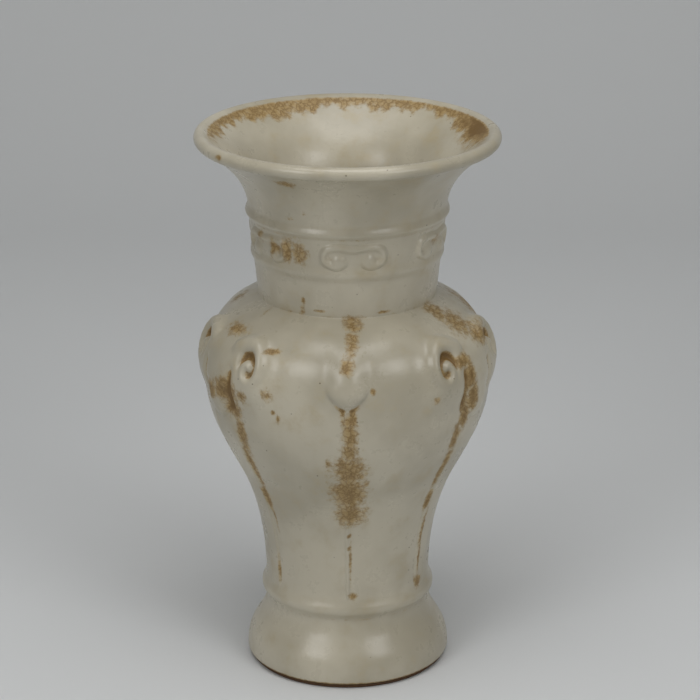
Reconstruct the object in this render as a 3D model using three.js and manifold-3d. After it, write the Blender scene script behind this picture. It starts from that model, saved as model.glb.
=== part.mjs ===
// Sheep-shaped vase: a stoneware vase with three rams' heads on its shoulder.
// Millimetres, +Z up. The origin is the centre of the ring that the vase stands on.
// Angle 0 is the front (-Y), and angles grow towards +X.

import * as THREE from 'three';
import { mergeVertices } from 'three/addons/utils/BufferGeometryUtils.js';
import Module from 'manifold-3d';

const wasm = await Module();
wasm.setup();

// Clay
const wallThickness = 5.5;
const footWallThickness = 6.5;
const floorThickness = 6;
const seatGap = 0.3;

// Rises of the stacked sections, from the table up
const footRimRise = 2.4;
const footRise = 36.6;
const lowerBodyRise = 121;
const shoulderRise = 44.5;
const neckRise = 46.5;
const flareRise = 35.8;

// Radii of the outside
const footRimRadius = 54.2;
const footRadius = 56;
const footEdgeRound = 1.8;
const waistRadius = 44.8;
const bellyRadius = 77.3;
const neckBaseRadius = 48;
const neckTopRadius = 52.8;
const lipCentreRadius = 77.6;
const lipRollRadius = 3.6;

// How far each curve runs on before it turns
const footTurnRise = 17;
const stemRun = 73;
const bellyRun = 42;
const shoulderRun = 28;
const shoulderSlopeOut = 17.7;
const shoulderSlopeDown = 6.8;
const flareRun = 15;
const flareLean = 0.4;
const flareSlopeIn = 14.8;
const flareSlopeDown = 9.9;

// Raised beads
const neckBeadHeight = 5;
const neckBeadDepth = 1.7;
const lowerBeadDrop = 22.5;
const waistBeadHeight = 9;
const waistBeadDepth = 2.2;

// Cloud scrolls on the neck
const cloudCount = 6;
const cloudTurn = THREE.MathUtils.degToRad(3.75);
const cloudDrop = 12.8;
const cloudHalfWidth = 15.4;
const cloudHalfHeight = 5.8;
const cloudRollRadius = 1.8;
const cloudLobeRadius = 2.8;
const cloudRelief = 1.6;

// Rams' heads
const ramCount = 3;
const headCentreHeight = 176;
const headUpperLength = 29;
const headLowerLength = 23;
const browHalfWidth = 16;
const cheekHalfWidth = 12.2;
const muzzleHalfWidth = 9;
const browRelief = 5.3;
const muzzleRelief = 5.6;
const browSlope = 21;
const templeRelief = 5.6;
const templeReach = 22;
const templeFade = 16;
const templeFoot = 157;
const templeFootFade = 19;
const templeCrest = 188;
const templeCrestFade = 19;
const eyeSpread = 10.2;
const eyeDrop = 5;
const eyeRadius = 2.6;
const eyeDepth = 1.6;

// Horns
const coilSpread = 24.8;
const coilRise = 10.5;
const coilHalfWidth = 8.2;
const coilHalfHeight = 10.4;
const coilSag = 3;
const coilShrink = 0.8;
const coilTurn = THREE.MathUtils.degToRad(430);
const coilStart = THREE.MathUtils.degToRad(140);
const hornLead = 5;
const hornRootRadius = 3.7;
const hornTipRadius = 1.9;
const hornRelief = 6;

// Bosses between the heads
const bossHeight = 182;
const bossHalfWidth = 12.5;
const bossSpread = 3;
const bossTipLength = 12.5;
const bossRelief = 3.3;
const bossFadeLength = 25;
const bossFadePower = 1.6;

// Leg straps below the heads, and seams below the bosses
const legHalfWidth = 12.5;
const legFootHalfWidth = 8.5;
const legRelief = 1.5;
const seamHalfWidth = 1.5;
const seamRelief = 0.9;
const seamFlatness = 2;
const strapFlatness = 6;

// Fineness of the faces
const turnSteps = 36;
const sinkDepth = 4;
const featherEdge = 0.4;
const leastDetail = 0.02;
const keepOutBore = 25;

// Heights of the joints, each where one section is luted to the next
const footTop = footRimRise + footRise;
const floorTop = footTop + floorThickness;
const bodyTop = floorTop + lowerBodyRise;
const shoulderTop = bodyTop + shoulderRise;
const neckTop = shoulderTop + neckRise;
const lipCentreHeight = neckTop + flareRise + lipRollRadius;
const waistBeadCentre = footTop + floorThickness / 2;
const cloudCentre = neckTop - cloudDrop;

const at = (radius, height) => new THREE.Vector2(radius, height);

// The outside of each section is one smooth curve from its lower joint to its upper one.
const footCurve = new THREE.CubicBezierCurve(
  at(footRadius, footRimRise + footEdgeRound),
  at(footRadius, footTop - footTurnRise),
  at(waistRadius, footTop - footTurnRise),
  at(waistRadius, footTop),
);
const bodyCurve = new THREE.CubicBezierCurve(
  at(waistRadius, floorTop),
  at(waistRadius, floorTop + stemRun),
  at(bellyRadius, bodyTop - bellyRun),
  at(bellyRadius, bodyTop),
);
const shoulderCurve = new THREE.CubicBezierCurve(
  at(bellyRadius, bodyTop),
  at(bellyRadius, bodyTop + shoulderRun),
  at(neckBaseRadius + shoulderSlopeOut, shoulderTop - shoulderSlopeDown),
  at(neckBaseRadius, shoulderTop),
);
const neckCurve = new THREE.LineCurve(at(neckBaseRadius, shoulderTop), at(neckTopRadius, neckTop));
const lipUnderside = at(lipCentreRadius - 0.2 * lipRollRadius, lipCentreHeight - lipRollRadius);
const flareCurve = new THREE.CubicBezierCurve(
  at(neckTopRadius, neckTop),
  at(neckTopRadius + flareLean, neckTop + flareRun),
  at(lipUnderside.x - flareSlopeIn, lipUnderside.y - flareSlopeDown),
  lipUnderside,
);

const footOutline = footCurve.getPoints(6);
const bodyOutline = bodyCurve.getPoints(9);
const shoulderOutline = shoulderCurve.getPoints(6);
const neckOutline = neckCurve.getPoints(1);
const flareOutline = flareCurve.getPoints(5);

// The whole outside between the foot and the lip, for what is stuck on it.
const outside = [
  ...footOutline,
  ...bodyOutline,
  ...shoulderOutline.slice(1),
  ...neckOutline.slice(1),
  ...flareOutline.slice(1),
];

function smoothStep(value) {
  const t = THREE.MathUtils.clamp(value, 0, 1);
  return t * t * (3 - 2 * t);
}

function mix(from, to, share) {
  return from + (to - from) * share;
}

// Outside radius at a height, on the straight edges between the outline's points.
function outsideRadius(height) {
  const last = outside.length - 1;
  let index = outside.findIndex((point) => point.y > height);
  if (index < 0) index = last;
  index = Math.max(index, 1);
  const below = outside[index - 1];
  const above = outside[index];
  return mix(below.x, above.x, (height - below.y) / (above.y - below.y));
}

// Unit normal of the outside at a height, smoothed over a few millimetres.
function outsideNormal(height) {
  const reach = 2;
  const rise = 2 * reach;
  const growth = outsideRadius(height + reach) - outsideRadius(height - reach);
  return at(rise, -growth).normalize();
}

// Places a point given by its run round the wall, its height and its distance off the wall.
function onWall(run, height, lift, runRadius) {
  const normal = outsideNormal(height);
  const radius = outsideRadius(height) + lift * normal.x;
  const angle = run / runRadius;
  return new THREE.Vector3(
    radius * Math.sin(angle),
    -radius * Math.cos(angle),
    height + lift * normal.y,
  );
}

// Moves each point of an outline off the curve by a distance, to its right as it rises.
function offsetOutline(outline, distance) {
  return outline.map((point, index) => {
    const before = outline[Math.max(index - 1, 0)];
    const after = outline[Math.min(index + 1, outline.length - 1)];
    const along = after.clone().sub(before).normalize();
    return at(point.x + along.y * distance, point.y - along.x * distance);
  });
}

// Turns a closed outline, outside upwards and inside downwards, into a solid of revolution.
function turned(outline) {
  const closed = [...outline, outline[0]];
  return new THREE.LatheGeometry(closed, turnSteps).rotateX(Math.PI / 2);
}

// Outline of one wall: its outside curve up, and back down the inside.
function wallOutline(outline, thickness) {
  const inside = offsetOutline(outline, -thickness)
    .slice(1, -1)
    .filter((point, index) => index % 2 === 0)
    .reverse();
  const foot = outline[0];
  const top = outline[outline.length - 1];
  return [...outline, at(top.x - thickness, top.y), ...inside, at(foot.x - thickness, foot.y)];
}

function joined(geometry) {
  geometry.deleteAttribute('normal');
  geometry.deleteAttribute('uv');
  return mergeVertices(geometry);
}

function toSolid(geometry) {
  const merged = joined(geometry);
  const vertProperties = new Float32Array(merged.getAttribute('position').array);
  const triVerts = new Uint32Array(merged.getIndex().array);
  return new wasm.Manifold(new wasm.Mesh({ numProp: 3, vertProperties, triVerts }));
}

function toGeometry(solid) {
  const result = solid.simplify(leastDetail).getMesh();
  const geometry = new THREE.BufferGeometry();
  geometry.setAttribute('position', new THREE.BufferAttribute(result.vertProperties, 3));
  geometry.setIndex(new THREE.BufferAttribute(result.triVerts, 1));
  geometry.computeVertexNormals();
  return geometry;
}

// The space that the wall takes, grown by the seat gap, so that reliefs sit just off it.
function wallKeepOut() {
  const grown = offsetOutline(outside, seatGap);
  const foot = grown[0];
  const top = grown[grown.length - 1];
  return toSolid(turned([...grown, at(keepOutBore, top.y), at(keepOutBore, foot.y)]));
}

const wallSolid = wallKeepOut();

// A relief whose surface is a formula of run and height, seated on the wall. Crowding over 1
// draws its columns towards the middle.
function reliefBlock({ low, high, halfWidth, rows, columns, crowding, lift }) {
  const geometry = joined(new THREE.BoxGeometry(2, high - low, 1, columns, rows, 1));
  const positions = geometry.getAttribute('position');
  for (let index = 0; index < positions.count; index += 1) {
    const across = positions.getX(index);
    const run = halfWidth * Math.sign(across) * Math.abs(across) ** crowding;
    const height = positions.getY(index) + (low + high) / 2;
    const raised = positions.getZ(index) > 0 ? lift(run, height) : -sinkDepth;
    const point = onWall(run, height, raised, bellyRadius);
    positions.setXYZ(index, point.x, point.y, point.z);
  }
  return toSolid(geometry);
}

// A roll of clay laid along a path on the wall, thicker or thinner as it goes.
function reliefRoll({ path, radius, relief, steps, sides, runRadius, swell }) {
  const geometry = joined(new THREE.CylinderGeometry(1, 1, 1, sides, steps));
  const positions = geometry.getAttribute('position');
  const stride = 1e-3;
  for (let index = 0; index < positions.count; index += 1) {
    const share = positions.getY(index) + 0.5;
    const centre = path(share);
    const along = path(share + stride).sub(path(share - stride)).normalize();
    const width = radius(share) + swell;
    const height = relief(share) + swell;
    const aside = positions.getX(index) * width;
    const run = centre.x + along.y * aside;
    const rise = centre.y - along.x * aside;
    const point = onWall(run, rise, seatGap + positions.getZ(index) * height, runRadius);
    positions.setXYZ(index, point.x, point.y, point.z);
  }
  return toSolid(geometry);
}

// Rounds the two ends of a roll.
function endRound(share, length) {
  const near = Math.min(share, 1 - share) / length;
  const inward = 1 - THREE.MathUtils.clamp(near, 0, 1);
  return Math.max(Math.sqrt(1 - inward * inward), 0.35);
}

// Half width of the face at a height: chin, muzzle, cheeks and brow.
function faceHalfWidth(height) {
  const rise = height - headCentreHeight;
  const muzzleShare = smoothStep(-rise / (0.8 * headLowerLength));
  const browShare = smoothStep(rise / (0.6 * headUpperLength));
  const lower = mix(cheekHalfWidth, muzzleHalfWidth, muzzleShare);
  const full = rise < 0 ? lower : mix(cheekHalfWidth, browHalfWidth, browShare);
  const end = rise < 0 ? -rise / headLowerLength : rise / headUpperLength;
  return full * Math.sqrt(Math.max(1 - end ** 6, 0));
}

// Lift of the face off the wall: a broad bridge that fades into the shoulder above the brow.
function faceLift(run, height) {
  const halfWidth = faceHalfWidth(height);
  const rise = height - headCentreHeight;
  const across = halfWidth > 0 ? Math.min(Math.abs(run) / halfWidth, 1) : 1;
  const crown = mix(browRelief, muzzleRelief, smoothStep(0.5 - rise / (2 * headLowerLength)));
  const fade = 1 - smoothStep((rise - headUpperLength + browSlope) / browSlope);
  const chin = Math.sqrt(1 - THREE.MathUtils.clamp(-rise / headLowerLength, 0, 1) ** 5);
  return crown * fade * chin * Math.sqrt(1 - across ** 3);
}

// Lift of the broad soft clay under the horns.
function templeLift(run, height) {
  const inward = 1 - smoothStep((Math.abs(run) - templeReach) / templeFade);
  const above = smoothStep((height - templeFoot) / templeFootFade);
  const below = 1 - smoothStep((height - templeCrest) / templeCrestFade);
  return templeRelief * inward * above * below;
}

// The whole head, with the eyes hollowed beside the bridge.
function headLift(run, height) {
  const eyeRun = (Math.abs(run) - eyeSpread) / eyeRadius;
  const eyeRise = (height - headCentreHeight + eyeDrop) / eyeRadius;
  const hollow = eyeDepth * Math.exp(-(eyeRun ** 2) - eyeRise ** 2);
  const full = Math.max(faceLift(run, height), templeLift(run, height));
  return full - hollow - featherEdge;
}

// Centre line of a coiled horn: out from the brow, over, down, round and up to its tip.
function hornPath(side) {
  return (share) => {
    const angle = coilStart - share * coilTurn;
    const shrink = 1 - coilShrink * Math.max(share, 0) ** 1.4;
    const lead = hornLead * Math.max(1 - share / 0.15, 0) ** 2;
    const run = coilSpread + coilHalfWidth * shrink * Math.cos(angle) - lead;
    const centre = headCentreHeight + coilRise - coilSag * share;
    return at(side * run, centre + coilHalfHeight * shrink * Math.sin(angle));
  };
}

// One horn, or with a swell the room that it needs, also beyond its root.
function hornSolid(side, swell) {
  const centreLine = hornPath(side);
  const stretch = swell / (coilTurn * coilHalfWidth);
  return reliefRoll({
    path: (share) => centreLine(mix(-stretch, 1, share)),
    radius: (share) => mix(hornRootRadius, hornTipRadius, share) * endRound(share, 0.03),
    relief: (share) => mix(hornRelief, 0.75 * hornRelief, share) * endRound(share, 0.03),
    steps: 21,
    sides: 6,
    runRadius: bellyRadius,
    swell,
  });
}

// The room inside a coiled horn, as far out as its centre line.
function coilRoom(side) {
  const geometry = joined(new THREE.CylinderGeometry(1, 1, 1, 16));
  const positions = geometry.getAttribute('position');
  for (let index = 0; index < positions.count; index += 1) {
    const run = side * coilSpread + coilHalfWidth * positions.getX(index);
    const height = headCentreHeight + coilRise - coilHalfHeight * positions.getZ(index);
    const lift = positions.getY(index) > 0 ? 2 * hornRelief : -sinkDepth;
    const point = onWall(run, height, lift, bellyRadius);
    positions.setXYZ(index, point.x, point.y, point.z);
  }
  return toSolid(geometry);
}

function headGeometry() {
  let head = reliefBlock({
    low: headCentreHeight - headLowerLength - 1,
    high: templeCrest + templeCrestFade,
    halfWidth: templeReach + templeFade,
    rows: 12,
    columns: 12,
    crowding: 1.4,
    lift: headLift,
  }).subtract(wallSolid);
  for (const side of [-1, 1]) {
    head = head.subtract(hornSolid(side, seatGap)).subtract(coilRoom(side));
  }
  const pieces = head.decompose();
  pieces.sort((one, other) => other.volume() - one.volume());
  return toGeometry(pieces[0]);
}

function hornGeometry(side) {
  return toGeometry(hornSolid(side, 0).subtract(wallSolid));
}

// A boss with a pointed lower edge, its upper part fading into the shoulder.
function bossLift(run, height) {
  const rise = height - bossHeight;
  const fadeShare = smoothStep(rise / bossFadeLength);
  const tipShare = THREE.MathUtils.clamp(-rise / bossTipLength, 0, 1);
  const upper = bossHalfWidth + bossSpread * fadeShare;
  const halfWidth = rise > 0 ? upper : bossHalfWidth * (1 - tipShare ** 1.4) ** 0.8;
  const crown = rise > 0 ? bossRelief * (1 - fadeShare) : bossRelief * (1 - tipShare ** 3);
  const across = halfWidth > 0 ? Math.abs(run) / halfWidth : 2;
  const power = mix(0.5, bossFadePower, smoothStep(2 * fadeShare));
  return crown * (1 - Math.min(across, 1) ** 2) ** power - featherEdge;
}

function bossGeometry() {
  const block = reliefBlock({
    low: bossHeight - bossTipLength - 1,
    high: bossHeight + bossFadeLength,
    halfWidth: bossHalfWidth + bossSpread,
    rows: 11,
    columns: 8,
    crowding: 1,
    lift: bossLift,
  });
  return toGeometry(block.subtract(wallSolid));
}

// A raised band that runs down the wall to the waist, narrowing as it goes.
function bandGeometry({ top, topHalfWidth, footHalfWidth, relief, flatness, columns }) {
  const low = waistBeadCentre + waistBeadHeight / 2 + seatGap;
  const geometry = joined(new THREE.BoxGeometry(2, top - low, 1, columns, 8, 1));
  const positions = geometry.getAttribute('position');
  for (let index = 0; index < positions.count; index += 1) {
    const across = positions.getX(index);
    const height = positions.getY(index) + (low + top) / 2;
    const halfWidth = mix(footHalfWidth, topHalfWidth, smoothStep((height - low) / (top - low)));
    const crown = relief * (1 - Math.abs(across) ** flatness);
    const raised = positions.getZ(index) > 0 ? crown : -sinkDepth;
    const point = onWall(across * halfWidth, height, raised, bellyRadius);
    positions.setXYZ(index, point.x, point.y, point.z);
  }
  return toGeometry(toSolid(geometry).subtract(wallSolid));
}

function legGeometry() {
  return bandGeometry({
    top: headCentreHeight - headLowerLength - seatGap,
    topHalfWidth: legHalfWidth,
    footHalfWidth: legFootHalfWidth,
    relief: legRelief,
    flatness: strapFlatness,
    columns: 6,
  });
}

function seamGeometry() {
  return bandGeometry({
    top: bossHeight - bossTipLength - seatGap,
    topHalfWidth: seamHalfWidth,
    footHalfWidth: seamHalfWidth,
    relief: seamRelief,
    flatness: seamFlatness,
    columns: 4,
  });
}

// Centre line of a cloud scroll: one lobe, the bar across the top, and the other lobe.
const cloudLine = new THREE.CatmullRomCurve3([
  new THREE.Vector3(-0.42 * cloudHalfWidth, -0.3 * cloudHalfHeight, 0),
  new THREE.Vector3(-0.62 * cloudHalfWidth, -0.95 * cloudHalfHeight, 0),
  new THREE.Vector3(-cloudHalfWidth, -0.35 * cloudHalfHeight, 0),
  new THREE.Vector3(-0.96 * cloudHalfWidth, 0.65 * cloudHalfHeight, 0),
  new THREE.Vector3(-0.6 * cloudHalfWidth, cloudHalfHeight, 0),
  new THREE.Vector3(0, 0.8 * cloudHalfHeight, 0),
  new THREE.Vector3(0.6 * cloudHalfWidth, cloudHalfHeight, 0),
  new THREE.Vector3(0.96 * cloudHalfWidth, 0.65 * cloudHalfHeight, 0),
  new THREE.Vector3(cloudHalfWidth, -0.35 * cloudHalfHeight, 0),
  new THREE.Vector3(0.62 * cloudHalfWidth, -0.95 * cloudHalfHeight, 0),
  new THREE.Vector3(0.42 * cloudHalfWidth, -0.3 * cloudHalfHeight, 0),
]);

function cloudPath(share) {
  const point = cloudLine.getPoint(THREE.MathUtils.clamp(share, 0, 1));
  return at(point.x + cloudTurn * neckTopRadius, cloudCentre + point.y);
}

function cloudGeometry() {
  const lobe = (share) => smoothStep(Math.abs(share - 0.5) * 6 - 2);
  const roll = reliefRoll({
    path: cloudPath,
    radius: (share) => mix(cloudRollRadius, cloudLobeRadius, lobe(share)) * endRound(share, 0.06),
    relief: (share) => cloudRelief * endRound(share, 0.06),
    steps: 17,
    sides: 5,
    runRadius: neckTopRadius,
    swell: 0,
  });
  return toGeometry(roll.subtract(wallSolid));
}

// A rounded bead round the wall, its back just off the wall.
function beadGeometry(centre, height, depth) {
  const low = centre - height / 2;
  const back = (level) => outsideRadius(level) + seatGap;
  const outline = [];
  const arcSteps = 4;
  for (let step = 0; step <= arcSteps; step += 1) {
    const angle = mix(-Math.PI / 2, Math.PI / 2, step / arcSteps);
    const level = centre + (height / 2) * Math.sin(angle);
    outline.push(at(back(level) + depth * Math.cos(angle) + 0.01, level));
  }
  return turned([at(back(low) - 0.01, low), ...outline, at(back(low + height) - 0.01, low + height)]);
}

function mouthGeometry() {
  const outline = [...flareOutline.slice(0, -1)];
  const arcStart = THREE.MathUtils.degToRad(-100);
  const arcEnd = THREE.MathUtils.degToRad(150);
  const arcSteps = 7;
  for (let step = 0; step <= arcSteps; step += 1) {
    const angle = mix(arcStart, arcEnd, step / arcSteps);
    const radius = lipCentreRadius + lipRollRadius * Math.cos(angle);
    outline.push(at(radius, lipCentreHeight + lipRollRadius * Math.sin(angle)));
  }
  const inside = offsetOutline(flareOutline, -wallThickness).slice(1, -1).reverse();
  return turned([...outline, ...inside, at(neckTopRadius - wallThickness, neckTop)]);
}

function footGeometry() {
  const outline = [];
  const arcSteps = 3;
  for (let step = 0; step < arcSteps; step += 1) {
    const angle = mix(-Math.PI / 2, 0, step / arcSteps);
    const radius = footRadius - footEdgeRound + footEdgeRound * Math.cos(angle);
    outline.push(at(radius, footRimRise + footEdgeRound + footEdgeRound * Math.sin(angle)));
  }
  return turned(wallOutline([...outline, ...footOutline], footWallThickness));
}

function footRimGeometry() {
  const bevel = 0.7;
  const innerRadius = footRadius - footEdgeRound - footWallThickness;
  return turned([
    at(innerRadius + bevel, 0),
    at(footRimRadius - bevel, 0),
    at(footRimRadius, bevel),
    at(footRimRadius, footRimRise),
    at(innerRadius, footRimRise),
    at(innerRadius, bevel),
  ]);
}

function floorGeometry() {
  const disc = new THREE.CylinderGeometry(waistRadius, waistRadius, floorThickness, turnSteps);
  return disc.rotateX(Math.PI / 2).translate(0, 0, footTop + floorThickness / 2);
}

function glaze(colour) {
  return new THREE.MeshStandardMaterial({ color: colour, roughness: 0.28, metalness: 0 });
}

const ivoryGlaze = glaze('#b3ab97');
const pooledGlaze = glaze('#a59c84');
const stainedGlaze = glaze('#8d7a50');
const bareClay = new THREE.MeshStandardMaterial({ color: '#4a3420', roughness: 0.85, metalness: 0 });

const vase = new THREE.Group();

function add(name, geometry, material, parent = vase) {
  const mesh = new THREE.Mesh(geometry, material);
  mesh.name = name;
  parent.add(mesh);
}

add('mouth_flare', mouthGeometry(), ivoryGlaze);
add('neck', turned(wallOutline(neckOutline, wallThickness)), ivoryGlaze);
add('neck_upper_ring', beadGeometry(neckTop, neckBeadHeight, neckBeadDepth), ivoryGlaze);
add('neck_lower_ring', beadGeometry(neckTop - lowerBeadDrop, neckBeadHeight, neckBeadDepth), ivoryGlaze);
add('shoulder', turned(wallOutline(shoulderOutline, wallThickness)), ivoryGlaze);
add('lower_body', turned(wallOutline(bodyOutline, wallThickness)), ivoryGlaze);
add('floor_disc', floorGeometry(), pooledGlaze);
add('waist_ring', beadGeometry(waistBeadCentre, waistBeadHeight, waistBeadDepth), ivoryGlaze);
add('foot', footGeometry(), ivoryGlaze);
add('foot_rim', footRimGeometry(), bareClay);

function turnedGroup(angle) {
  const group = new THREE.Group();
  group.rotation.z = angle;
  vase.add(group);
  return group;
}

const cloud = cloudGeometry();
for (let index = 0; index < cloudCount; index += 1) {
  const group = turnedGroup((index / cloudCount) * 2 * Math.PI);
  add(`cloud_${index + 1}`, cloud, ivoryGlaze, group);
}

const head = headGeometry();
const leftHorn = hornGeometry(-1);
const rightHorn = hornGeometry(1);
const boss = bossGeometry();
const leg = legGeometry();
const seam = seamGeometry();
for (let index = 0; index < ramCount; index += 1) {
  const bossAngle = (index / ramCount) * 2 * Math.PI;
  const headGroup = turnedGroup(bossAngle + Math.PI / ramCount);
  add(`ram_head_${index + 1}`, head, ivoryGlaze, headGroup);
  add(`ram_horn_${index + 1}_left`, leftHorn, ivoryGlaze, headGroup);
  add(`ram_horn_${index + 1}_right`, rightHorn, ivoryGlaze, headGroup);
  add(`leg_rib_${index + 1}`, leg, stainedGlaze, headGroup);
  const bossGroup = turnedGroup(bossAngle);
  add(`boss_${index + 1}`, boss, pooledGlaze, bossGroup);
  add(`boss_rib_${index + 1}`, seam, stainedGlaze, bossGroup);
}

export default vase;
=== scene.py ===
# Sheep-shaped vase: the glazed skin and its reliefs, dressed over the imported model.
# Metres, +Z up, front on -Y. Angle 0 is the front, and angles grow towards +X.
import math
import bpy
import numpy as np
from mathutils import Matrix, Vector


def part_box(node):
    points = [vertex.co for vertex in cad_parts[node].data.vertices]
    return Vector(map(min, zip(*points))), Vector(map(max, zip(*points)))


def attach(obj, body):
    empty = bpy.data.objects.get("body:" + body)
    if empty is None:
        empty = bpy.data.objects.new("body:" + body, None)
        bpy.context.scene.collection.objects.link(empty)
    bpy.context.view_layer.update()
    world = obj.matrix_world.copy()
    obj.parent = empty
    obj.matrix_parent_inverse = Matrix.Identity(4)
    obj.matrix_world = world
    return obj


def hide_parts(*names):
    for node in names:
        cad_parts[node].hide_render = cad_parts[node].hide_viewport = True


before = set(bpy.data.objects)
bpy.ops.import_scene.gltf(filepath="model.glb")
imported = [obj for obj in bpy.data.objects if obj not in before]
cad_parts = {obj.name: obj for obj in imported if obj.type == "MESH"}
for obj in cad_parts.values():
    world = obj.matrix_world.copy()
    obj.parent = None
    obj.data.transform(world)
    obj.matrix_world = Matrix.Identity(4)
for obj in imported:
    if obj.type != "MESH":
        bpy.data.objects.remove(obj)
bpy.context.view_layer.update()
mm = 0.001
print("frame loaded")


def toLinear(hexColour):
    parts = [int(hexColour[i:i + 2], 16) / 255 for i in (1, 3, 5)]
    bent = [p / 12.92 if p <= 0.04045 else ((p + 0.055) / 1.055) ** 2.4 for p in parts]
    return (*bent, 1.0)


def addNode(tree, kind, inputs=None, **settings):
    made = tree.nodes.new(kind)
    for name, value in settings.items():
        setattr(made, name, value)
    for name, value in (inputs or {}).items():
        if isinstance(value, bpy.types.NodeSocket):
            tree.links.new(value, made.inputs[name])
        else:
            made.inputs[name].default_value = value
    return made


def smoothStep(value):
    t = np.clip(value, 0, 1)
    return t * t * (3 - 2 * t)


def blend(start, end, share):
    return start + (end - start) * share


def frontReach(node):
    return -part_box(node)[0].y


# Joints between the sections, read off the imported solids
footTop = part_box("foot")[1].z
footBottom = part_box("foot")[0].z
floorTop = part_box("floor_disc")[1].z
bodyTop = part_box("lower_body")[1].z
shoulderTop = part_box("shoulder")[1].z
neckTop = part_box("neck")[1].z
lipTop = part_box("mouth_flare")[1].z
footRadius = frontReach("foot")
waistRadius = frontReach("floor_disc")
bellyRadius = frontReach("lower_body")
neckTopRadius = frontReach("neck")
rimRadius = frontReach("mouth_flare")

vaseShape = {
    "neckBaseRadius": 48 * mm,
    "wall": 5.5 * mm,
    "footWall": 6.5 * mm,
    "footEdgeRound": 1.8 * mm,
    "lipRoll": 3.6 * mm,
    "footTurn": 17 * mm,        # how far each curve runs on before it turns
    "stemRun": 73 * mm,
    "bellyRun": 42 * mm,
    "shoulderRun": 28 * mm,
    "shoulderSlope": (17.7 * mm, -6.8 * mm),
    "flareRun": (0.4 * mm, 15 * mm),
    "flareSlope": (-14.8 * mm, -9.9 * mm),
    "neckBead": (2.6 * mm, 1.7 * mm),    # half height and depth
    "lowerBeadDrop": 22.5 * mm,
    "waistBead": (4.4 * mm, 2.6 * mm),
    "lipTurn": 118,                      # degrees of the lip's roll on its inner side
    "lipReach": 15 * mm,                 # how far below the lip the inside runs straight
    "columns": 220,
}


def bezier(a, b, c, d, steps):
    t = np.linspace(0, 1, steps, endpoint=False)[:, None]
    a, b, c, d = (np.array(p, float) for p in (a, b, c, d))
    return (1 - t) ** 3 * a + 3 * (1 - t) ** 2 * t * b + 3 * (1 - t) * t ** 2 * c + t ** 3 * d


def outsideCurve():
    s = vaseShape
    footLow = footBottom + s["footEdgeRound"]
    footTurn = footTop - s["footTurn"]
    foot = bezier((footRadius, footLow), (footRadius, footTurn), (waistRadius, footTurn), (waistRadius, footTop), 36)
    stem = (waistRadius, floorTop + s["stemRun"])
    belly = (bellyRadius, bodyTop - s["bellyRun"])
    joint = np.linspace(footTop, floorTop, 10, endpoint=False)
    floorJoint = np.stack([np.full(10, waistRadius), joint], 1)
    body = bezier((waistRadius, floorTop), stem, belly, (bellyRadius, bodyTop), 84)
    base = (s["neckBaseRadius"], shoulderTop)
    crest = (base[0] + s["shoulderSlope"][0], base[1] + s["shoulderSlope"][1])
    shoulder = bezier((bellyRadius, bodyTop), (bellyRadius, bodyTop + s["shoulderRun"]), crest, base, 44)
    neck = bezier(base, base, (neckTopRadius, neckTop), (neckTopRadius, neckTop), 50)
    lipUnder = (rimRadius - 1.2 * s["lipRoll"], lipTop - 2 * s["lipRoll"])
    run = (neckTopRadius + s["flareRun"][0], neckTop + s["flareRun"][1])
    slope = (lipUnder[0] + s["flareSlope"][0], lipUnder[1] + s["flareSlope"][1])
    flare = bezier((neckTopRadius, neckTop), run, slope, lipUnder, 40)
    return np.vstack([foot, floorJoint, body, shoulder, neck, flare])


def addBead(curve, centre, halfHeight, depth):
    across = np.clip(1 - ((curve[:, 1] - centre) / halfHeight) ** 2, 0, 1)
    curve[:, 0] += depth * across ** 0.6
    return curve


def softened(curve, rounds):
    curve = curve.copy()
    for _ in range(rounds):
        curve[1:-1] = 0.5 * curve[1:-1] + 0.25 * (curve[:-2] + curve[2:])
    return curve


wallCurve = softened(outsideCurve(), 3)    # thick glaze rounds the inner corners
beadCentres = (neckTop, neckTop - vaseShape["lowerBeadDrop"])
waistCentre = (footTop + floorTop) / 2


def wallRadius(height):
    return np.interp(height, wallCurve[:, 1], wallCurve[:, 0])


def onWall(run, height, lift):
    reach = 1.5 * mm
    growth = wallRadius(height + reach) - wallRadius(height - reach)
    size = np.hypot(2 * reach, growth)
    radius = wallRadius(height) + lift * 2 * reach / size
    angle = run / bellyRadius
    up = height - lift * growth / size
    return np.stack([radius * np.sin(angle), -radius * np.cos(angle), up], -1)


# Slow waves left by the thrower's hands, the same for every piece
handMade = {"depth": 0.28 * mm, "turns": (2, 3, 5), "rise": (31, 47, 68)}


def bendByHand(points):
    angle = np.arctan2(points[:, 0], -points[:, 1])
    radius = np.hypot(points[:, 0], points[:, 1])
    wave = sum(
        np.sin(turns * angle + rise * points[:, 2] + turns) / turns
        for turns, rise in zip(handMade["turns"], handMade["rise"])
    )
    grown = np.where(radius > 1 * mm, (radius + handMade["depth"] * wave) / np.maximum(radius, 1 * mm), 1)
    points[:, 0] *= grown
    points[:, 1] *= grown
    return points


def makeObject(name, points, faces):
    mesh = bpy.data.meshes.new(name)
    mesh.from_pydata(points.tolist(), [], faces)
    mesh.polygons.foreach_set("use_smooth", [True] * len(mesh.polygons))
    mesh.update()
    piece = bpy.data.objects.new(name, mesh)
    bpy.context.collection.objects.link(piece)
    return piece


def meshPoints(piece):
    flat = np.empty(len(piece.data.vertices) * 3)
    piece.data.vertices.foreach_get("co", flat)
    return flat.reshape(-1, 3)


def storeValue(piece, name, values):
    layer = piece.data.attributes.get(name) or piece.data.attributes.new(name, "FLOAT", "POINT")
    layer.data.foreach_set("value", np.asarray(values, np.float32))


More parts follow.
